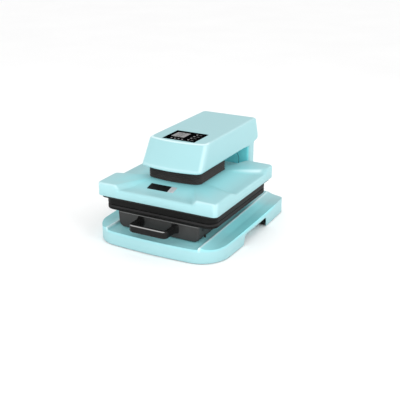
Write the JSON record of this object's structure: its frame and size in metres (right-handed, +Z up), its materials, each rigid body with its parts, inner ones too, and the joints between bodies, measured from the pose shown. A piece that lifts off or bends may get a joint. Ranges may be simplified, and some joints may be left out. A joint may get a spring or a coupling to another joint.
{
  "type": "automatic heat press",
  "caption": "Bench heat press whose screw-driven heated platen presses down onto a padded platen that slides out in a drawer.",
  "frame": {"origin": "on the floor under the middle of the whole press, from the handle's front to the head's rear", "axes": "+Z up, front with the drawer handle towards -Y, +X to the right seen from the front"},
  "size_m": [0.44, 0.56, 0.31],
  "materials": {
    "shell": "smooth satin moulding",
    "dark_plastic": "fine grained moulding",
    "drawer_steel": "dark grey powder coat",
    "platen_coat": "black non-stick coat on aluminium",
    "tray_steel": "black coated sheet steel",
    "silicone": "matt foamed silicone",
    "rubber": "matt rubber",
    "steel": "bright zinc plated steel",
    "bronze": "machined bronze",
    "display": "black display window",
    "board": "green circuit board",
    "mat": "woven glass insulation",
    "label": "black plate with a pale grey end"
  },
  "bodies": {
    "frame": {"base_shell": "shell", "base_pan": "tray_steel", "rubber_feet": "rubber", "base_screws": "steel", "rail_pedestals": "steel", "fixed_rails": "steel", "column_tube": "steel", "column_bolts": "steel", "press_plate": "steel", "frame_gussets": "steel", "column_cover": "shell", "column_panel": "shell", "rear_panel": "shell", "rear_screws": "steel", "head_cover": "shell", "head_underside": "shell", "head_screws": "steel", "bellows": "silicone", "guide_bushes": "bronze", "thrust_washer": "bronze", "screw_bearing": "steel", "motor_bracket": "steel", "gear_motor": "tray_steel", "control_board": "board", "power_supply": "steel", "display_glass": "display", "display_board": "board", "power_inlet": "dark_plastic", "inlet_pins": "bronze", "switch_housing": "dark_plastic", "limit_switches": "dark_plastic"},
    "middle": {"middle_rails": "steel"},
    "drawer": {"drawer_box": "drawer_steel", "drawer_handle": "dark_plastic", "handle_screws": "steel", "lower_platen": "platen_coat", "platen_screws": "steel", "silicone_pad": "silicone", "drawer_rails": "steel", "rail_screws": "steel"},
    "platen": {"heat_platen": "platen_coat", "heater_element": "steel", "temperature_probe": "steel", "insulation_mat": "mat", "platen_tray": "tray_steel", "tray_screws": "steel", "standoffs": "steel", "ram_plate": "steel", "ram_bolts": "steel", "guide_rods": "steel", "lead_nut": "bronze", "platen_cover": "shell", "cover_screws": "steel", "label_plate": "label"},
    "screw": {"lead_screw": "steel", "driven_gear": "bronze"},
    "pinion": {"motor_pinion": "steel"},
    "rocker": {"switch_rocker": "dark_plastic"}
  },
  "joints": [
    {"name": "platen_lift", "type": "slide", "parent": "frame", "child": "platen", "axis": [0, 0, 1], "range_m": [0, 0.03], "deforming": ["bellows"]},
    {"name": "drawer_slide", "type": "slide", "parent": "frame", "child": "drawer", "axis": [0, -1, 0], "range_m": [0, 0.3]},
    {"name": "middle_slide", "type": "slide", "parent": "frame", "child": "middle", "axis": [0, -1, 0], "range_m": [0, 0.151]},
    {"name": "screw_spin", "type": "hinge", "parent": "frame", "child": "screw", "pos_m": [0, -0.028, 0.25], "axis": [0, 0, 1], "range_deg": [-1081, 1]},
    {"name": "pinion_spin", "type": "hinge", "parent": "frame", "child": "pinion", "pos_m": [0, 0.014, 0.264], "axis": [0, 0, 1], "range_deg": [-1, 2701]},
    {"name": "switch_rocker_tilt", "type": "hinge", "parent": "frame", "child": "rocker", "pos_m": [-0.079, 0.246, 0.09], "axis": [1, 0, 0], "range_deg": [0, 20]}
  ],
  "couplings": [
    {"joint": "middle_slide", "follows": "drawer_slide", "ratio": 0.5},
    {"joint": "screw_spin", "follows": "platen_lift", "rad_per_m": -628.32},
    {"joint": "pinion_spin", "follows": "platen_lift", "rad_per_m": 1570.8}
  ]
}
